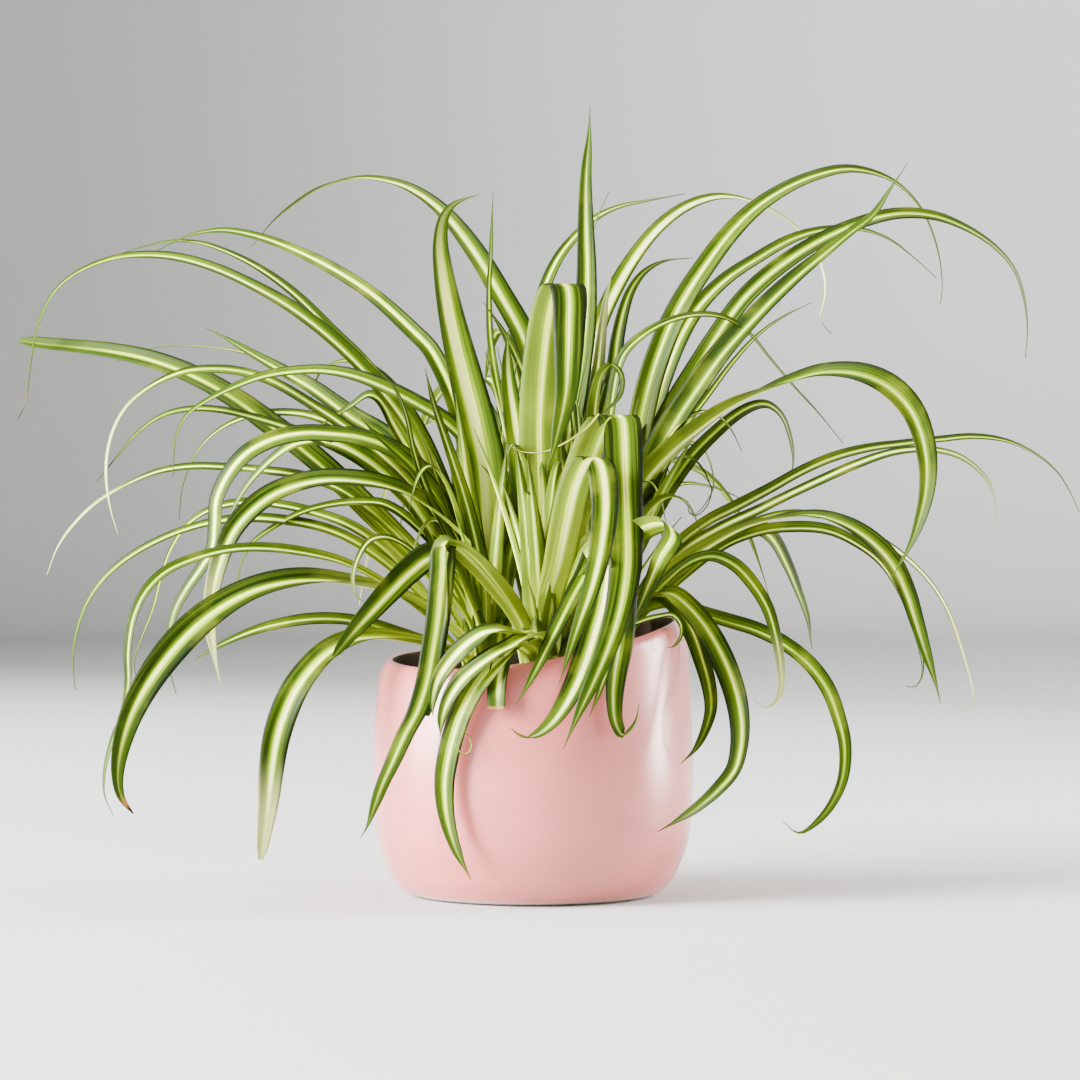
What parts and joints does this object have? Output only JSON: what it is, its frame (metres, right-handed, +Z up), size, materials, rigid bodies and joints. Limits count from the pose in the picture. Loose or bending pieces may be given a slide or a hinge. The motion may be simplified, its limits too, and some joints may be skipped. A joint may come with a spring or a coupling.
{
  "type": "potted spider plant",
  "caption": "Spider plant with long arching green leaves, each with a cream stripe, in a round pink glazed cover pot with a sloping rim; free-standing decoration.",
  "frame": {"origin": "centre of the pot's flat base, on the surface it stands on", "axes": "+Z up along the pot's axis, front of the plant towards -Y, +X to the right as seen from the front"},
  "size_m": [0.5532, 0.3568, 0.3967],
  "materials": {
    "pot": "satin",
    "potting_mix": "matte",
    "leaf": "satin"
  },
  "bodies": {
    "root": {"pot": "pot", "potting_mix": "potting_mix", "crown_front": "leaf", "crown_left": "leaf", "crown_right": "leaf", "crown_back": "leaf"}
  },
  "joints": []
}
